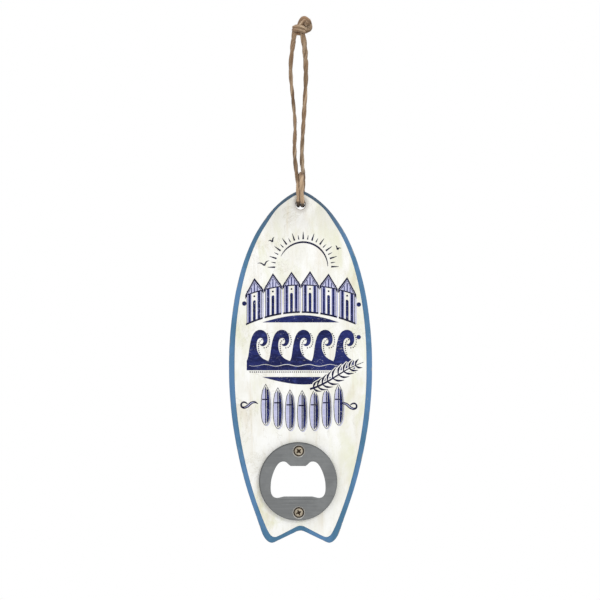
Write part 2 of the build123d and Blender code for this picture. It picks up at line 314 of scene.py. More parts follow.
def tuft(end, direction, spread, count, seed, length):
    """Frayed fibre ends at a cut tail."""
    rng = random.Random(seed)
    d0 = np.array(direction, float)
    d0 /= np.linalg.norm(d0)
    a = np.cross(d0, [0.3, 0.2, 1.0])
    a /= np.linalg.norm(a)
    b = np.cross(d0, a)
    out = []
    for _ in range(count):
        ang, rad = rng.uniform(0, 6.283), math.sqrt(rng.random()) * spread
        o = math.cos(ang) * a + math.sin(ang) * b
        p = np.array(end, float) + o * rad - d0 * 0.0008
        lean = o * rng.uniform(0.0, 0.55) * (rad / spread)
        ln = length * rng.uniform(0.55, 1.1)
        pts = np.array([p + (d0 + lean * (q / 4)) * ln * q / 4 for q in range(5)])
        out.append((pts, rng.uniform(0.00006, 0.00011), rng.choice((0.0, 0.0, 0.15, 0.4, 0.75))))
    return out


def core(centre, radii, seed):
    """Egg-shaped heart of the knot, which closes the gaps between its runs; its dark tone is painted shade in those
    gaps.
    """
    rng = np.random.RandomState(seed)
    verts, faces, tones = [], [], []
    rows, cols = 14, 22
    verts.append((centre[0], centre[1], centre[2] + radii[2]))
    for i in range(1, rows):
        th = math.pi * i / rows
        for k in range(cols):
            ph = 2 * math.pi * k / cols
            q = 1 + 0.05 * math.sin(5 * ph + 3 * th) + 0.02 * rng.rand()
            verts.append((centre[0] + radii[0] * q * math.sin(th) * math.cos(ph),
                          centre[1] + radii[1] * q * math.sin(th) * math.sin(ph),
                          centre[2] + radii[2] * q * math.cos(th)))
    verts.append((centre[0], centre[1], centre[2] - radii[2]))
    last = len(verts) - 1
    for k in range(cols):
        k2 = (k + 1) % cols
        faces.append((0, 1 + k, 1 + k2))
        for i in range(rows - 2):
            a = 1 + i * cols
            faces.append((a + k, a + cols + k, a + cols + k2, a + k2))
        a = 1 + (rows - 2) * cols
        faces.append((a + k, last, a + k2))
    # painted shade: the whole core takes a dark tone, as the shade deep in the knot
    tones = [0.15] * len(verts)
    return verts, faces, tones


knot_hair = []
knot_parts = [core((0.0020, 0.0001, 0.0056), (0.0030, 0.0018, 0.0028), 5)]
for run in KNOT_RUNS:
    opts = {k: v for k, v in run.items() if k not in ("points", "seed")}
    knot_parts.append(strand(spline_points(run["points"], 12), run["seed"], hair=knot_hair, hairs_per_mm=1.3, **opts))
fray = []
fray += tuft((0.00485, -0.0034, 0.0071), (0.06, -1, 0.1), 0.00165, 150, 31, 0.0011)


# ============================================================ node helpers
def lin(r, g, b):
    out = []
    for c in (r, g, b):
        c = c / 255
        out.append(c / 12.92 if c <= 0.04045 else ((c + 0.055) / 1.055) ** 2.4)
    return (*out, 1.0)


class Mat:
    """Small helper that builds one procedural material."""

    def __init__(self, name):
        self.mat = bpy.data.materials.new(name)
        self.mat.use_nodes = True
        self.t = self.mat.node_tree
        self.t.nodes.clear()
        self.out = self.t.nodes.new("ShaderNodeOutputMaterial")
        self.bsdf = self.t.nodes.new("ShaderNodeBsdfPrincipled")
        self.t.links.new(self.bsdf.outputs[0], self.out.inputs[0])
        self.co = self.t.nodes.new("ShaderNodeTexCoord").outputs["Object"]
        self.xyz = None

    def set(self, **kw):
        for k, v in kw.items():
            name = k.replace("_", " ")
            if hasattr(v, "node"):
                self.t.links.new(v, self.bsdf.inputs[name])
            else:
                self.bsdf.inputs[name].default_value = v

    def axis(self, i):
        if self.xyz is None:
            n = self.t.nodes.new("ShaderNodeSeparateXYZ")
            self.t.links.new(self.co, n.inputs[0])
            self.xyz = n
        return self.xyz.outputs[i]

    def noise(self, scale=1.0, stretch=(1, 1, 1), detail=4.0, rough=0.55, distort=0.0, shift=(0, 0, 0)):
        m = self.t.nodes.new("ShaderNodeMapping")
        m.inputs["Scale"].default_value = stretch
        m.inputs["Location"].default_value = shift
        self.t.links.new(self.co, m.inputs[0])
        n = self.t.nodes.new("ShaderNodeTexNoise")
        n.inputs["Scale"].default_value = scale
        n.inputs["Detail"].default_value = detail
        n.inputs["Roughness"].default_value = rough
        n.inputs["Distortion"].default_value = distort
        self.t.links.new(m.outputs[0], n.inputs["Vector"])
        return n.outputs["Fac"]

    def ramp(self, src, a, b, lo=0.0, hi=1.0):
        n = self.t.nodes.new("ShaderNodeMapRange")
        n.clamp = True
        n.interpolation_type = "SMOOTHSTEP"
        for k, v in (("From Min", a), ("From Max", b), ("To Min", lo), ("To Max", hi)):
            n.inputs[k].default_value = v
        self.t.links.new(src, n.inputs["Value"])
        return n.outputs["Result"]

    def math(self, op, a, b=None):
        n = self.t.nodes.new("ShaderNodeMath")
        n.operation = op
        for i, v in enumerate((a, b)):
            if v is None:
                continue
            if hasattr(v, "node"):
                self.t.links.new(v, n.inputs[i])
            else:
                n.inputs[i].default_value = v
        return n.outputs[0]

    def mix(self, fac, a, b):
        n = self.t.nodes.new("ShaderNodeMix")
        n.data_type = "RGBA"
        for sock, v in ((n.inputs[0], fac), (n.inputs[6], a), (n.inputs[7], b)):
            if hasattr(v, "node"):
                self.t.links.new(v, sock)
            else:
                sock.default_value = v
        return n.outputs[2]

    def bump(self, height, strength, distance):
        n = self.t.nodes.new("ShaderNodeBump")
        n.inputs["Strength"].default_value = strength
        n.inputs["Distance"].default_value = distance
        self.t.links.new(height, n.inputs["Height"])
        self.t.links.new(n.outputs[0], self.bsdf.inputs["Normal"])

    def attribute(self, name):
        n = self.t.nodes.new("ShaderNodeAttribute")
        n.attribute_name = name
        return n.outputs["Fac"]


LIGHT = 0.765  # albedo for a part that the soft light brings to full brightness


def shade(r, g, b, k=LIGHT):
    c = lin(r, g, b)
    return (c[0] * k, c[1] * k, c[2] * k, 1.0)


# ---------------------------------------------------------------- whitewashed print
def whitewash(m):
    """Cream whitewash over vertical wood streaks, with yellow-green and beige stains and hairline cracks."""
    cream, bright = shade(243, 242, 235), shade(251, 251, 248)
    yellow, beige, grey = shade(224, 225, 186), shade(224, 213, 190), shade(210, 209, 205)
    z, x = m.axis(2), m.axis(0)
    blotch = m.noise(75, (1, 1, 0.6), 5, 0.62)
    streak = m.noise(1, (340, 60, 18), 5, 0.62, 0.2)
    fine = m.noise(1, (1500, 200, 130), 3, 0.6)
    col = m.mix(m.ramp(blotch, 0.40, 0.60), cream, bright)
    # stains gather at the nose, along the sides and low on the left
    near_top = m.ramp(z, -0.150, -0.085, 0.0, 1.0)
    side = m.ramp(m.math("ABSOLUTE", m.math("SUBTRACT", x, 0.00103)), 0.012, 0.031, 0.0, 1.0)
    low_left = m.math("MULTIPLY", m.ramp(z, -0.236, -0.212, 1.0, 0.0), m.ramp(x, -0.010, 0.004, 1.0, 0.0))
    where = m.math("ADD", m.math("ADD", m.math("MULTIPLY", near_top, 0.22), m.math("MULTIPLY", side, 0.34)),
                   m.math("ADD", m.math("MULTIPLY", low_left, 0.55), 0.22))
    stain = m.noise(95, (1.0, 1, 0.42), 6, 0.68, 0.5, (3.1, 0, 1.7))
    col = m.mix(m.math("MULTIPLY", m.ramp(stain, 0.46, 0.66), where), col, yellow)
    stain2 = m.noise(125, (1.1, 1, 0.36), 6, 0.7, 0.6, (8.3, 1, 5.1))
    col = m.mix(m.math("MULTIPLY", m.ramp(stain2, 0.50, 0.70), m.math("MULTIPLY", where, 0.75)), col, beige)
    top_grey = m.ramp(z, -0.105, -0.088, 0.0, 0.55)
    col = m.mix(m.math("MULTIPLY", m.ramp(m.noise(70, (1, 1, 0.7), 3, 0.5, 0, (5, 5, 1)), 0.38, 0.58), top_grey), col, shade(216, 214, 210))
    col = m.mix(m.ramp(streak, 0.52, 0.76, 0.0, 0.50), col, beige)
    col = m.mix(m.ramp(fine, 0.54, 0.82, 0.0, 0.40), col, grey)
    crack_at = m.noise(62, (1, 1, 0.7), 9, 0.72, 0.9, (1.3, 0, 2.2))
    line = m.ramp(m.math("ABSOLUTE", m.math("SUBTRACT", crack_at, 0.5)), 0.0, 0.0085, 1.0, 0.0)
    gate = m.ramp(m.noise(30, (1, 1, 1), 2, 0.5, 0, (4, 4, 4)), 0.44, 0.60, 0.0, 0.42)
    cracks = m.math("MULTIPLY", line, gate)
    col = m.mix(cracks, col, shade(172, 162, 134))
    return col, streak, fine, cracks


m_print = Mat("whitewashed_print")
col, streak, fine, cracks = whitewash(m_print)
# painted shade: the print is greyed in a soft ring round the hanging hole
hx = m_print.math("SUBTRACT", m_print.axis(0), 0.00103)
hz = m_print.math("SUBTRACT", m_print.axis(2), -0.08524)
hole_r = m_print.math("SQRT", m_print.math("ADD", m_print.math("MULTIPLY", hx, hx), m_print.math("MULTIPLY", hz, hz)))
ring = m_print.ramp(hole_r, 0.0027, 0.0052, 0.65, 0.0)
col = m_print.mix(ring, col, shade(190, 184, 178))
m_print.set(Base_Color=col, Roughness=0.52)
m_print.bsdf.inputs["Specular IOR Level"].default_value = 0.22
m_print.bump(m_print.math("SUBTRACT", m_print.math("ADD", streak, m_print.math("MULTIPLY", fine, 0.5)), m_print.math("MULTIPLY", cracks, 3.0)), 0.25, 0.00006)


# ---------------------------------------------------------------- blue paint
m_blue = Mat("blue_painted_wood")
patch = m_blue.noise(60, (1, 1, 0.6), 5, 0.6)
patch2 = m_blue.noise(120, (1, 1, 0.5), 5, 0.65, 0.3, (2, 5, 1))
brush = m_blue.noise(1, (620, 620, 22), 5, 0.62)
grain = m_blue.noise(1, (150, 150, 7), 6, 0.6, 0.6, (1, 3, 2))
col = m_blue.mix(m_blue.ramp(patch, 0.40, 0.60), shade(86, 129, 172), shade(70, 116, 148))
col = m_blue.mix(m_blue.ramp(patch2, 0.54, 0.70, 0.0, 0.75), col, shade(98, 140, 180))
col = m_blue.mix(m_blue.ramp(brush, 0.48, 0.76, 0.0, 0.45), col, shade(62, 100, 138))
col = m_blue.mix(m_blue.ramp(grain, 0.56, 0.72, 0.0, 0.35), col, shade(58, 96, 130))
col = m_blue.mix(m_blue.ramp(m_blue.axis(2), -0.112, -0.082, 0.0, 0.85), col, shade(66, 84, 100))
# paint rubbed through here and there along the rounded edges
geo = m_blue.t.nodes.new("ShaderNodeNewGeometry")
sep = m_blue.t.nodes.new("ShaderNodeSeparateXYZ")
m_blue.t.links.new(geo.outputs["Normal"], sep.inputs[0])
lean = m_blue.math("ABSOLUTE", sep.outputs[1])
corner = m_blue.math("MULTIPLY", m_blue.ramp(lean, 0.25, 0.45), m_blue.ramp(lean, 0.80, 0.93, 1.0, 0.0))
rub = m_blue.ramp(m_blue.noise(210, (1, 1, 0.5), 6, 0.7, 0, (6, 1, 3)), 0.53, 0.60, 0.0, 0.8)
col = m_blue.mix(m_blue.math("MULTIPLY", corner, rub), col, shade(176, 158, 128))
# a few scuffs that let the pale primer through
scuff = m_blue.math("MULTIPLY", m_blue.ramp(m_blue.noise(1, (900, 900, 260), 4, 0.7, 0, (3, 1, 9)), 0.62, 0.70),
                    m_blue.ramp(m_blue.noise(38, (1, 1, 1), 2, 0.5, 0, (9, 9, 2)), 0.52, 0.62, 0.0, 0.55))
col = m_blue.mix(scuff, col, shade(160, 178, 190))
# bare wood in the hanging hole and the dirt of handling round it; the wood inside the hole is a dark brown that also
# paints the shade in the hole
bx = m_blue.math("SUBTRACT", m_blue.axis(0), 0.00103)
bz = m_blue.math("SUBTRACT", m_blue.axis(2), -0.08524)
b_r = m_blue.math("SQRT", m_blue.math("ADD", m_blue.math("MULTIPLY", bx, bx), m_blue.math("MULTIPLY", bz, bz)))
col = m_blue.mix(m_blue.ramp(b_r, 0.00282, 0.00292, 1.0, 0.0), col, shade(204, 196, 184))
# painted shade: dark brown wall inside the hanging hole
col = m_blue.mix(m_blue.ramp(b_r, 0.00248, 0.00256, 1.0, 0.0), col, shade(120, 98, 74))
m_blue.set(Base_Color=col, Roughness=m_blue.ramp(patch, 0.3, 0.7, 0.42, 0.56))
m_blue.bsdf.inputs["Specular IOR Level"].default_value = 0.25
m_blue.bump(m_blue.math("SUBTRACT", m_blue.math("ADD", brush, m_blue.math("MULTIPLY", grain, 1.2)), m_blue.math("MULTIPLY", scuff, 0.6)), 0.30, 0.00010)


# ---------------------------------------------------------------- steel plate
PLATE_X, PLATE_Z = -0.00020, -0.22570
SCREW_X, SCREW_ZS = 0.00015, (-0.21030, -0.24150)
m_steel = Mat("satin_steel")
brushing = m_steel.noise(1, (55, 2500, 2500), 4, 0.6)
cloud = m_steel.noise(70, (1, 1, 1), 4, 0.6)
col = m_steel.mix(m_steel.ramp(cloud, 0.40, 0.60), (0.205, 0.212, 0.214, 1), (0.172, 0.178, 0.180, 1))
col = m_steel.mix(m_steel.ramp(brushing, 0.42, 0.70, 0.0, 0.55), col, (0.236, 0.242, 0.243, 1))
px = m_steel.math("SUBTRACT", m_steel.axis(0), SCREW_X)
px2 = m_steel.math("MULTIPLY", px, px)
sink = None
for z0 in SCREW_ZS:
    pz = m_steel.math("SUBTRACT", m_steel.axis(2), z0)
    r = m_steel.math("SQRT", m_steel.math("ADD", px2, m_steel.math("MULTIPLY", pz, pz)))
    sink = r if sink is None else m_steel.math("MINIMUM", sink, r)
deep = m_steel.ramp(m_steel.axis(1), -0.00672, -0.00668, 0.0, 1.0)
# two faint press lines under the opening
press = None
for z0, half in ((-0.23490, 0.0120), (-0.23660, 0.0100)):
    near = m_steel.ramp(m_steel.math("ABSOLUTE", m_steel.math("SUBTRACT", m_steel.axis(2), z0)), 0.00012, 0.00034, 1.0, 0.0)
    wide = m_steel.ramp(m_steel.math("ABSOLUTE", m_steel.math("SUBTRACT", m_steel.axis(0), PLATE_X)), half - 0.004, half, 1.0, 0.0)
    one = m_steel.math("MULTIPLY", near, wide)
    press = one if press is None else m_steel.math("MAXIMUM", press, one)
col = m_steel.mix(m_steel.math("MULTIPLY", press, 0.55), col, (0.13, 0.134, 0.136, 1))
# painted reflection and painted shade in the countersinks: a bright ring round the mouth of each cone, and a near-black
# gap next to the screw head
countersink_glint_and_shade = m_steel.math("MULTIPLY", m_steel.ramp(sink, 0.00318, 0.00330, 1.0, 0.0), deep)
col = m_steel.mix(countersink_glint_and_shade, col, (0.52, 0.512, 0.49, 1))
col = m_steel.mix(m_steel.math("MULTIPLY", countersink_glint_and_shade, m_steel.ramp(sink, 0.00250, 0.00296, 1.0, 0.0)), col, (0.05, 0.045, 0.04, 1))
# painted shade: a dark line round the plate's edge, strongest at the top left
rx = m_steel.math("SUBTRACT", m_steel.axis(0), PLATE_X)
rz = m_steel.math("SUBTRACT", m_steel.axis(2), PLATE_Z)
rr = m_steel.math("SQRT", m_steel.math("ADD", m_steel.math("MULTIPLY", rx, rx), m_steel.math("MULTIPLY", rz, rz)))
rim_shade_side = m_steel.ramp(m_steel.math("SUBTRACT", rz, rx), -0.012, 0.024, 0.35, 0.95)
col = m_steel.mix(m_steel.math("MULTIPLY", m_steel.ramp(rr, 0.01908, 0.01974), rim_shade_side), col, (0.085, 0.088, 0.090, 1))
m_steel.set(Base_Color=col, Metallic=1.0, Roughness=m_steel.ramp(brushing, 0.3, 0.7, 0.36, 0.52))
m_steel.bump(m_steel.math("SUBTRACT", brushing, m_steel.math("MULTIPLY", press, 1.5)), 0.18, 0.00004)


# ---------------------------------------------------------------- screws
m_screw = Mat("antique_brass")
spot = m_screw.noise(900, (1, 1, 1), 4, 0.6)
col = m_screw.mix(m_screw.ramp(spot, 0.35, 0.65), (0.42, 0.375, 0.295, 1), (0.29, 0.25, 0.185, 1))
# painted shade with some dirt: the head darkens to near black deeper in, in the cross recess and round its rim
col = m_screw.mix(m_screw.ramp(m_screw.axis(1), -0.00634, -0.00618, 0.0, 0.92), col, (0.055, 0.032, 0.018, 1))
m_screw.set(Base_Color=col, Metallic=0.85, Roughness=m_screw.ramp(spot, 0.3, 0.7, 0.34, 0.55))
m_screw.bump(spot, 0.2, 0.00004)


# ---------------------------------------------------------------- jute
def jute(name, pale=0.0, k=0.80, warmth=0.4):
    """Jute fibre: dark between the ridges as painted shade, lighter on them; pale lifts the whole of it, warmth reddens
    it in patches.
    """
    m = Mat(name)
    tone = m.attribute("fibre_tone_and_groove_shade")
    grain = m.noise(1, (5200, 5200, 700), 4, 0.65)
    tuft_n = m.noise(420, (1, 1, 0.35), 4, 0.6)
    warm = m.noise(95, (1, 1, 0.6), 3, 0.5, 0, (1, 2, 3))
    mixv = m.math("ADD", m.math("MULTIPLY", tone, 0.62), m.math("ADD", m.math("MULTIPLY", grain, 0.34), m.math("MULTIPLY", tuft_n, 0.16)))
    r = m.t.nodes.new("ShaderNodeValToRGB")
    els = r.color_ramp.elements
    stops = ((0.14, (62, 38, 24)), (0.32, (88, 68, 48)), (0.50, (126, 106, 83)), (0.68, (158, 136, 111)), (0.88, (200, 180, 154)))
    while len(els) < len(stops):
        els.new(0.5)
    for e, (pos, c) in zip(els, stops):
        e.position = pos
        e.color = shade(*(v + (232 - v) * pale for v in c), k=k)
    m.t.links.new(mixv, r.inputs[0])
    col = m.mix(m.ramp(warm, 0.30, 0.62, 0.0, warmth), r.outputs[0], shade(150, 114, 84, k=k))
    # painted highlight: paler on the strands in front of the nose; painted shade: near black low in the hanging hole,
    # starting 0.9 mm higher on the left
    col = m.mix(m.ramp(m.axis(1), -0.0062, -0.0045, 0.38, 0.0), col, shade(206, 178, 146, k=0.95))
    left = m.ramp(m.axis(0), 0.0004, 0.0012, 0.0009, 0.0)
    col = m.mix(m.ramp(m.math("SUBTRACT", m.axis(2), left), -0.0852, -0.0841, 0.88, 0.0), col, shade(44, 30, 20))
    # stray dark flecks
    fleck = m.ramp(m.noise(1, (1100, 1100, 330), 3, 0.6, 0, (4, 4, 4)), 0.66, 0.72, 0.0, 0.75)
    col = m.mix(fleck, col, shade(62, 42, 28))
    m.set(Base_Color=col, Roughness=0.85)
    m.bsdf.inputs["Specular IOR Level"].default_value = 0.18
    m.bsdf.inputs["Sheen Weight"].default_value = 0.12
    m.bsdf.inputs["Sheen Roughness"].default_value = 0.6
    m.bump(m.math("ADD", grain, m.math("MULTIPLY", tuft_n, 0.6)), 0.55, 0.00009)
    return m.mat


mat_jute = jute("jute_twine")
mat_knot = jute("jute_knot", 0.04, 0.92, 0.7)
mat_fuzz = jute("jute_fibre", 0.0, 0.88)


# ---------------------------------------------------------------- inks
def ink(name, a, b, c, worn):
    """Printed ink worn through to the whitewash in specks and thin scratches."""
    m = Mat(name)
    under, streak, fine, _ = whitewash(m)
    n1 = m.noise(120, (0.5, 1, 1.6), 5, 0.65)
    n2 = m.noise(1, (260, 200, 900), 5, 0.65, 0.2)
    col = m.mix(m.ramp(n1, 0.36, 0.62), a, b)
    col = m.mix(m.ramp(n2, 0.50, 0.72, 0.0, 0.75), col, c)
    speck = m.noise(1500, (1, 1, 1), 3, 0.6)
    gate = m.noise(170, (1, 1, 0.8), 4, 0.6, 0, (7, 2, 9))
    lost = m.math("MULTIPLY", m.ramp(speck, 0.60 - 0.04 * worn, 0.72 - 0.04 * worn), m.ramp(gate, 0.46, 0.66, 0.0, 0.85 * worn))
    col = m.mix(lost, col, under)
    m.set(Base_Color=col, Roughness=0.6)
    m.bsdf.inputs["Specular IOR Level"].default_value = 0.10
    m.bump(m.math("SUBTRACT", m.math("MULTIPLY", streak, 0.6), lost), 0.25, 0.00004)
    return m.mat


mat_navy = ink("navy_ink", shade(36, 44, 104), shade(22, 28, 74), shade(62, 74, 142), 0.6)
mat_line = ink("dark_ink", shade(24, 25, 60), shade(20, 20, 48), shade(36, 40, 86), 0.35)
mat_pale = ink("pale_ink", shade(198, 199, 230), shade(184, 186, 222), shade(214, 215, 238), 0.6)


# ============================================================ assign materials to the CAD nodes
def paint(node, mat):
    me = nodes[node].data
    me.materials.clear()
    me.materials.append(mat)


paint("board", m_blue.mat)
paint("front_print", m_print.mat)
paint("opener_plate", m_steel.mat)
paint("upper_screw", m_screw.mat)
paint("lower_screw", m_screw.mat)

twine = new_object("twine_loop", *twine_mesh[:2], mat=mat_jute, smooth=True, tone=twine_mesh[2])
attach(twine, "twine")
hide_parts("hanging_twine")
kv, kf, kt = merge(knot_parts)
knot = new_object("overhand_knot", kv, kf, mat=mat_knot, smooth=True, tone=kt)
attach(knot, "twine")
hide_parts("twine_knot")
fv, ff, ft = hair_mesh(hair)
fuzz = new_object("twine_fuzz", fv, ff, mat=mat_fuzz, tone=ft)
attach(fuzz, "twine")
gv, gf, gt = hair_mesh(knot_hair + fray)
knot_fuzz = new_object("knot_fray", gv, gf, mat=mat_fuzz, tone=gt)
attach(knot_fuzz, "twine")


# ============================================================ printed artwork
# Flat shapes laid down in order, like stencils: each covers what is under it, and a
# shape of ink 0 leaves the whitewash bare. Sheet units across (x) and down (y) from
# a corner above and left of the board; one unit is 0.508 mm.
UNIT = 0.000508
NAVY, LINE, PALE = 1, 2, 3
shapes = []


def put(points, ink_id):
    shapes.append(([(float(x), float(y)) for x, y in points], ink_id))


def smooth_line(points, n=6):
    """Catmull-Rom curve through the points."""
    p = [np.array(q, float) for q in points]
    p = [2 * p[0] - p[1]] + p + [2 * p[-1] - p[-2]]
    out = []
    for i in range(1, len(p) - 2):
        for k in range(n):
            t = k / n
            out.append(0.5 * ((2 * p[i]) + (-p[i - 1] + p[i + 1]) * t
                              + (2 * p[i - 1] - 5 * p[i] + 4 * p[i + 1] - p[i + 2]) * t * t
                              + (-p[i - 1] + 3 * p[i] - 3 * p[i + 1] + p[i + 2]) * t ** 3))
    out.append(p[-2])
    return np.array(out)


def stroke(points, widths, ink_id, n=6, curved=True):
    """Brush line of changing width."""
    line = smooth_line(points, n) if curved else np.array(points, float)
    w = np.interp(np.linspace(0, 1, len(line)), np.linspace(0, 1, len(widths)), widths) / 2
    t = np.gradient(line, axis=0)
    t /= np.maximum(np.linalg.norm(t, axis=1), 1e-9)[:, None]
    nrm = np.stack([-t[:, 1], t[:, 0]], 1)
    a, b = line + nrm * w[:, None], line - nrm * w[:, None]
    put(list(a) + list(b[::-1]), ink_id)


def disc(x, y, r, ink_id, n=20):
    put([(x + r * math.cos(2 * math.pi * k / n), y + r * math.sin(2 * math.pi * k / n)) for k in range(n)], ink_id)


def bezier(p0, p1, p2, p3, n=10):
    out = []
    for k in range(n):
        t = k / n
        out.append(tuple((1 - t) ** 3 * a + 3 * (1 - t) ** 2 * t * b + 3 * (1 - t) * t * t * c + t ** 3 * d
                         for a, b, c, d in zip(p0, p1, p2, p3)))
    return out


def inside(pt, poly):
    x, y = pt
    hit = False
    for (x1, y1), (x2, y2) in zip(poly, poly[1:] + poly[:1]):
        if (y1 > y) != (y2 > y) and x < (x2 - x1) * (y - y1) / (y2 - y1) + x1:
            hit = not hit
    return hit


# ---- half sun with rays
SUN = (302.7, 266.7)


def polar(r, deg):
    a = math.radians(deg)
    return (SUN[0] + r * math.cos(a), SUN[1] - r * math.sin(a))


stroke([polar(24.6 + 0.5 * (1 - abs(90 - d) / 90), d) for d in range(154, -2, -4)],
       [0.35, 1.0, 1.5, 1.7, 1.8, 1.8, 1.7, 1.5, 1.1, 0.5], LINE, n=2)
for i in range(21):
    d = 180 - 9 * i
    if i == 20:
        d = 1
    long = i % 2 == 0
    r0, r1 = 28.0, (35.6 if long else 32.4)
    a, b = polar(r0, d), polar(r1, d)
    stroke([a, ((a[0] + b[0]) / 2, (a[1] + b[1]) / 2), b], [1.75, 1.2, 0.3] if long else [1.15, 0.85, 0.3], LINE, n=2)

# ---- gulls
for gx, gy, k, left, right in ((271.9, 240.9, 1.0, (-4.2, -0.4), (1.9, -4.4)),
                               (337.0, 248.6, 1.0, (-1.9, -3.6), (3.6, -0.8)),
                               (263.9, 264.4, 1.25, (-5.6, -1.4), (3.8, -3.6))):
    stroke([(gx + left[0] * k, gy + left[1] * k), (gx + left[0] * 0.5 * k, gy + left[1] * 0.5 * k - 0.9), (gx, gy + 0.5)],
           [0.25, 1.1, 1.5], LINE)
    stroke([(gx + right[0] * k, gy + right[1] * k), (gx + right[0] * 0.45 * k - 0.3, gy + right[1] * 0.5 * k - 0.7), (gx, gy + 0.6)],
           [0.25, 1.2, 1.6], LINE)


# ---- arched row of striped beach huts
def arch_top(x):
    return 270.2 + 9.3 * ((x - 301) / 56) ** 2


def arch_bottom(x):
    return 311.5 + 12.5 * ((x - 301) / 56) ** 2


def band(x, t):
    """Point of the arched band: t is 0 at its foot and 1 at its top."""
    return (x, arch_bottom(x) + (arch_top(x) - arch_bottom(x)) * t)


def band_quad(x0, x1, t0, t1, ink_id):
    xs = np.linspace(x0, x1, max(2, int((x1 - x0) / 1.5) + 1))
    put([band(x, t0) for x in xs] + [band(x, t1) for x in xs[::-1]], ink_id)


def gable(x0, x1, eave, peak, drop, ink_id):
    mid = (x0 + x1) / 2
    put([band(x0, eave), band(mid, peak), band(x1, eave), band(x1, eave - drop), band(mid, peak - drop), band(x0, eave - drop)], ink_id)


HUTS = 6
PITCH = 111.4 / HUTS
for h in range(HUTS):
    x0 = 245.3 + PITCH * h
    w = PITCH - 1.5
    x1, mid = x0 + w, x0 + w / 2
    tall = 1.0 if h % 2 else 0.985
    # soft cast edge to the right
    band_quad(x1 - 0.4, x1 + 0.75, 0.0, 0.66, PALE)
    # walls with their vertical boards
    band_quad(x0 + 0.9, x1 - 0.9, 0.0, 0.74, LINE)
    put([band(x0 + 0.9, 0.60), band(mid, 0.93), band(x1 - 0.9, 0.60)], LINE)
    band_quad(x0 + 1.5, x1 - 1.5, 0.02, 0.70, 0)
    put([band(x0 + 1.5, 0.60), band(mid, 0.92), band(x1 - 1.5, 0.60)], 0)
    wall = w - 3.0
    for a, b, ink_id in ((0.00, 0.075, PALE), (0.075, 0.25, NAVY), (0.25, 0.31, PALE),
                         (0.69, 0.75, PALE), (0.75, 0.925, NAVY), (0.925, 1.0, PALE)):
        band_quad(x0 + 1.5 + wall * a, x0 + 1.5 + wall * b, 0.02, 0.655, ink_id)
    # gable boards
    put([band(x0 + 2.6, 0.668), band(mid, 0.90), band(x1 - 2.6, 0.668)], PALE)
    band_quad(mid - 0.55, mid + 0.55, 0.668, 0.86, NAVY)
    for s in (-1, 1):
        band_quad(mid + s * 2.9 - 0.42, mid + s * 2.9 + 0.42, 0.668, 0.775, NAVY)
    # beam under the gable
    band_quad(x0 + 0.9, x1 - 0.9, 0.640, 0.668, LINE)
    # door with a round head
    dw = wall * 0.100
    door = [band(mid - dw, 0.02), band(mid - dw, 0.44)]
    for k in range(9):
        a = math.pi - math.pi * k / 8
        q = band(mid + dw * math.cos(a), 0.44)
        door.append((q[0], q[1] - dw * math.sin(a)))
    door += [band(mid + dw, 0.02)]
    put(door, NAVY)
    disc(mid, band(mid, 0.565)[1], 0.95, LINE, 12)
    # step and roof
    band_quad(x0 + 0.2, x1 - 0.2, -0.022, 0.020, LINE)
    gable(x0 - 0.55, x1 + 0.55, 0.665, tall, 0.098, LINE)
    gable(x0 + 1.2, x1 - 1.2, 0.667, tall - 0.062, 0.016, PALE)

# ---- upper and lower swooshes
up = bezier((261.8, 321.9), (280, 316.2), (292, 314.6), (301, 314.6), 14) + bezier((301, 314.6), (312, 314.6), (322, 316.0), (338.5, 321.9), 14) + [(338.5, 321.9)]
put(up, NAVY)
low = bezier((261.8, 376.4), (276, 381.0), (292, 384.0), (303, 384.0), 14) + bezier((303, 384.0), (316, 384.0), (326, 381.0), (338.5, 376.4), 14) + [(338.5, 376.4)]
put(low, NAVY)

# ---- dots
for x, y, r in ((243.8, 303.0, 2.25), (358.3, 304.0, 2.2), (358.2, 336.6, 2.2)):
    disc(x, y, r, NAVY, 22)

# ---- heavy running wave with a dotted drop shadow
WAVES = 5
WAVE_X0, WAVE_X1, WAVE_Y = 246.2, 354.6, 329.2
WP = (WAVE_X1 - WAVE_X0) / WAVES


def wave(x0):
    k = WP / 22.0
    raw = []
    raw += bezier((0.0, 31.0), (3.4, 27.0), (1.4, 2.2), (12.0, 0.2))
    raw += bezier((12.0, 0.2), (18.2, -0.9), (21.6, 4.2), (21.2, 10.4))
    raw += bezier((21.2, 10.4), (20.9, 16.6), (14.6, 18.6), (13.2, 14.0))
    raw += bezier((13.2, 14.0), (15.2, 15.2), (17.2, 13.4), (16.8, 10.8))
    raw += bezier((16.8, 10.8), (16.0, 6.8), (11.4, 7.6), (10.4, 12.0))
    raw += bezier((10.4, 12.0), (8.8, 19.5), (12.2, 29.2), (22.0, 31.0))
    raw += [(22.0, 31.4), (22.0, 36.0), (0.0, 36.0)]
    return [(x0 + x * k, WAVE_Y + y) for x, y in raw]


waves = [wave(WAVE_X0 + WP * i) for i in range(WAVES)]
foot = [(WAVE_X0, WAVE_Y + 33)]
foot += [(WAVE_X0 + (WAVE_X1 - WAVE_X0) * k / 24, WAVE_Y + 33) for k in range(1, 24)]
foot += [(WAVE_X1, WAVE_Y + 33), (WAVE_X1, WAVE_Y + 40.6), (WAVE_X0, WAVE_Y + 40.6)]
solid = waves + [foot]


def covered(pt):
    return any(inside(pt, poly) for poly in solid)


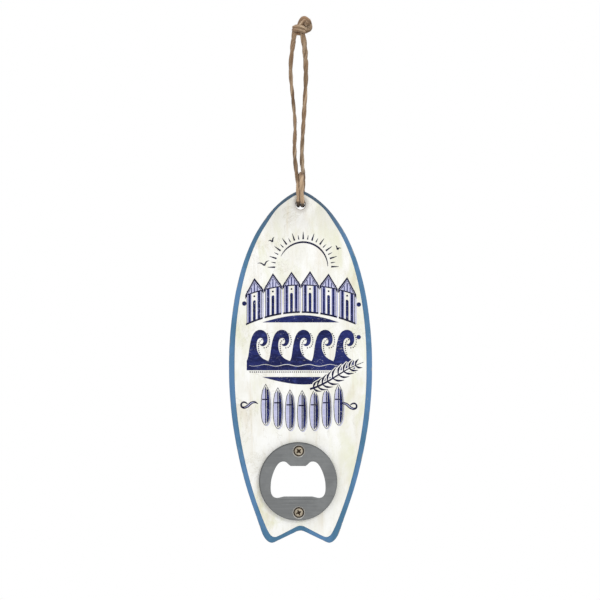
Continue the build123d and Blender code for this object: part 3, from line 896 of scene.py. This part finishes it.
dots_made = []
for poly in solid:
    ring = np.array(poly)
    nxt = np.roll(ring, -1, 0)
    for p, q in zip(ring, nxt):
        run = np.linalg.norm(q - p)
        for k in range(max(1, int(run / 0.35))):
            c = p + (q - p) * (k + 0.5) / max(1, int(run / 0.35)) + np.array([1.9, 1.7])
            if covered(tuple(c)) or any(covered((c[0] + ox, c[1] + oy)) for ox, oy in ((0.75, 0), (-0.75, 0), (0, 0.75), (0, -0.75))):
                continue
            if c[1] < WAVE_Y + 3 or c[0] < WAVE_X0 + 3:
                continue
            if any((c[0] - d[0]) ** 2 + (c[1] - d[1]) ** 2 < 1.95 ** 2 for d in dots_made):
                continue
            dots_made.append((float(c[0]), float(c[1])))
for x, y in dots_made:
    disc(x, y, 0.66, LINE, 8)
for poly in waves:
    put(poly, NAVY)
put(foot, NAVY)
# a bare line of foam runs through the foot
foam = []
for k in range(0, 121):
    x = WAVE_X0 + 2.5 + (WAVE_X1 - WAVE_X0 - 5.0) * k / 120
    foam.append((x, WAVE_Y + 35.6 + 0.9 * math.sin(2 * math.pi * (x - WAVE_X0) / WP - 0.6)))
stroke(foam, [0.25, 0.55, 0.55, 0.25], 0, curved=False)


# ---- row of small striped boards on a curved baseline
def dip(x):
    return 1 - ((x - 301.5) / 42.5) ** 2


def small_board(cx, y0, y1, half, inset, ink_id, x_from=-9.0, x_to=9.0):
    """Pointed upright board; the part between x_from and x_to of its width, drawn in by inset."""
    pts = []
    ys = np.linspace(y0 + inset * 1.9, y1 - inset, 26)
    for y in ys:
        t = max(0.0, (y - y0) / (y1 - y0))
        hw = half * (math.sin(math.pi * min(1, 0.06 + t * 0.80)) ** 0.62 if t > 0 else 0) * (1.0 if t < 0.86 else 1 - 0.62 * ((t - 0.86) / 0.14) ** 2) * min(1.0, (t / 0.16) ** 0.55 + 0.0)
        hw = max(0.05, hw - inset)
        pts.append((max(-hw, x_from), min(hw, x_to), y))
    pts = [(a, b, y) for a, b, y in pts if b - a > 0.06]
    put([(cx + a, y) for a, b, y in pts] + [(cx + b, y) for a, b, y in pts[::-1]], ink_id)


BOARDS = 7
for i in range(BOARDS):
    cx = 265.2 + 12.15 * i
    y0, y1 = 381.0 + 8.6 * dip(cx), 422.6 + 8.0 * dip(cx)
    small_board(cx + 0.95, y0 + 0.9, y1 + 0.7, 5.0, 0.0, PALE)
    small_board(cx + 0.25, y0, y1, 5.0, -0.25, 0)
    small_board(cx, y0, y1, 5.0, 0.0, LINE)
    small_board(cx, y0, y1, 5.0, 0.62, 0)
    small_board(cx, y0, y1, 5.0, 0.95, PALE, -9.0, -0.9)
    small_board(cx, y0, y1, 5.0, 0.95, NAVY, 1.0, 9.0)
    small_board(cx, y0, y1, 5.0, 1.4, NAVY, -0.62, 0.62)
    ym = y0 + (y1 - y0) * 0.36
    put([(cx - 3.6, ym), (cx + 3.6, ym), (cx + 3.6, ym + 1.3), (cx - 3.6, ym + 1.3)], LINE)

# ---- flourishes at both sides of it
for sx, ox, oy in ((1, 240.2, 404.2), (-1, 356.6, 405.4)):
    pts = [(17.3, -0.9), (14.0, -2.6), (10.4, -1.6), (7.0, 1.4), (3.6, 2.9), (0.9, 1.9), (0.6, -0.8), (2.8, -2.6), (5.6, -1.8), (7.4, 0.0)]
    pts = [(ox + sx * x, oy + y) for x, y in pts]
    stroke(pts, [0.5, 2.1, 2.8, 2.8, 2.4, 1.8, 1.6, 1.6, 1.4, 0.4], LINE)
    stroke(pts[1:5], [0.2, 0.7, 0.8, 0.2], PALE)

# ---- palm frond laid across the lower right
stem = [(309.5, 388.6), (318.0, 385.6), (328.0, 380.4), (339.0, 373.6), (350.0, 367.2), (363.0, 361.6)]
curve = smooth_line(stem, 8)
leaves = []
for i in range(3, len(curve) - 2, 4):
    f = i / (len(curve) - 1)
    t = curve[i + 1] - curve[i - 1]
    t = t / np.linalg.norm(t)
    nrm = np.array([t[1], -t[0]])
    size = 9.5 * math.sin(math.pi * (0.16 + 0.78 * f)) ** 0.8 + 2.0
    for s in (-1, 1):
        tip = curve[i] + t * size * 0.80 + nrm * s * size * 0.66
        mid = curve[i] + t * size * 0.30 + nrm * s * size * 0.42
        leaves.append(([tuple(curve[i]), tuple(mid), tuple(tip)], size))
for pts, size in leaves:
    stroke(pts, [2.8, 4.0, 1.9], 0, n=4)
stroke(stem, [3.4, 3.6, 3.2, 2.2], 0)
for pts, size in leaves:
    stroke(pts, [0.9, 2.1, 0.3], LINE, n=4)
stroke(stem, [2.0, 1.8, 1.3, 0.5], LINE)


def build_inks():
    """Cut all the shapes against each other, keep the last one laid at each spot, and raise each ink into a thin closed film."""
    coords, faces = [], []
    for pts, _ in shapes:
        clean = []
        for p in pts:
            if not clean or math.dist(p, clean[-1]) > 1e-3:
                clean.append(p)
        if math.dist(clean[0], clean[-1]) < 1e-3:
            clean.pop()
        area = sum(a[0] * b[1] - b[0] * a[1] for a, b in zip(clean, clean[1:] + clean[:1]))
        if area < 0:
            clean.reverse()
        start = len(coords)
        coords += [Vector(p) for p in clean]
        faces.append(list(range(start, start + len(clean))))
    vs, _, fs, _, _, orig = geometry.delaunay_2d_cdt(coords, [], faces, 0, 1e-4, True)
    by_ink = {NAVY: [], LINE: [], PALE: []}
    for f, o in zip(fs, orig):
        if not o:
            continue
        ink_id = shapes[max(o)][1]
        if ink_id:
            by_ink[ink_id].append(tuple(f))
    out = {}
    for ink_id, tris in by_ink.items():
        used, verts, top = {}, [], []
        for f in tris:
            a, b, c = (vs[i] for i in f)
            if abs((b[0] - a[0]) * (c[1] - a[1]) - (c[0] - a[0]) * (b[1] - a[1])) < 1e-7:
                continue
            row = []
            for i in f:
                if i not in used:
                    used[i] = len(verts)
                    verts.append(vs[i])
                row.append(used[i])
            top.append(row)
        out[ink_id] = film(verts, top)
    return out


def film(flat, tris):
    """Thin closed slab on the printed face: front and back skins and the walls between them."""
    y_back, y_front = -0.004745, -0.004790
    n = len(flat)
    verts = []
    for y in (y_front, y_back):
        verts += [((v[0] - 298.0) * UNIT, y, (36.4 - v[1]) * UNIT) for v in flat]
    faces, edges = [], {}
    for f in tris:
        a, b, c = (flat[i] for i in f)
        if (b[0] - a[0]) * (c[1] - a[1]) - (c[0] - a[0]) * (b[1] - a[1]) < 0:
            f = f[::-1]
        # sheet y runs down, so this order faces the viewer
        faces.append(tuple(f[::-1]))
        faces.append(tuple(i + n for i in f))
        g = f[::-1]
        for i, j in zip(g, g[1:] + g[:1]):
            edges[(i, j)] = edges.get((i, j), 0) + 1
    for (i, j), k in edges.items():
        if (j, i) not in edges:
            faces.append((j, i, i + n, j + n))
    return verts, faces


for ink_id, name, mat in ((NAVY, "ink_navy", mat_navy), (LINE, "ink_outline", mat_line), (PALE, "ink_pale", mat_pale)):
    if ink_id == NAVY:
        inks = build_inks()
    v, f = inks[ink_id]
    ob = new_object(name, v, f, mat=mat)
    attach(ob, "board")


# ============================================================ stage and light
def plain(name, colour, rough):
    m = Mat(name)
    n = m.noise(3, (1, 1, 1), 2, 0.5)
    m.set(Base_Color=m.mix(m.ramp(n, 0.3, 0.7), colour, tuple(min(1, c * 1.01) for c in colour[:3]) + (1,)), Roughness=rough)
    m.bsdf.inputs["Specular IOR Level"].default_value = 0.2
    return m.mat


floor_v, floor_f = [(0, 0, -0.62)], []
for k in range(96):
    a = 2 * math.pi * k / 96
    floor_v.append((2.4 * math.cos(a), 2.4 * math.sin(a), -0.62))
for k in range(96):
    floor_f.append((0, 1 + k, 1 + (k + 1) % 96))
floor = new_object("studio_floor", floor_v, floor_f, mat=plain("pale_floor", (0.94, 0.94, 0.94, 1), 0.8))

world = bpy.data.worlds.new("studio")
scene.world = world
world.use_nodes = True
wt = world.node_tree
wt.nodes.clear()
wo = wt.nodes.new("ShaderNodeOutputWorld")
bg = wt.nodes.new("ShaderNodeBackground")
bg.inputs[0].default_value = (1.0, 1.0, 1.0, 1.0)
bg.inputs[1].default_value = 1.0
wt.links.new(bg.outputs[0], wo.inputs[0])


def area(name, loc, target, size, power):
    li = bpy.data.lights.new(name, "AREA")
    li.shape = "DISK"
    li.size = size
    li.energy = power
    ob = bpy.data.objects.new(name, li)
    scene.collection.objects.link(ob)
    ob.location = loc
    ob.rotation_mode = "QUATERNION"
    ob.rotation_quaternion = (Vector(target) - Vector(loc)).to_track_quat("-Z", "Y")
    return ob


area("key", (0.75, -1.15, 0.55), (0, 0, -0.14), 0.45, 7.0)
area("top_fill", (-0.5, -0.6, 0.9), (0, 0, -0.14), 0.8, 3.0)
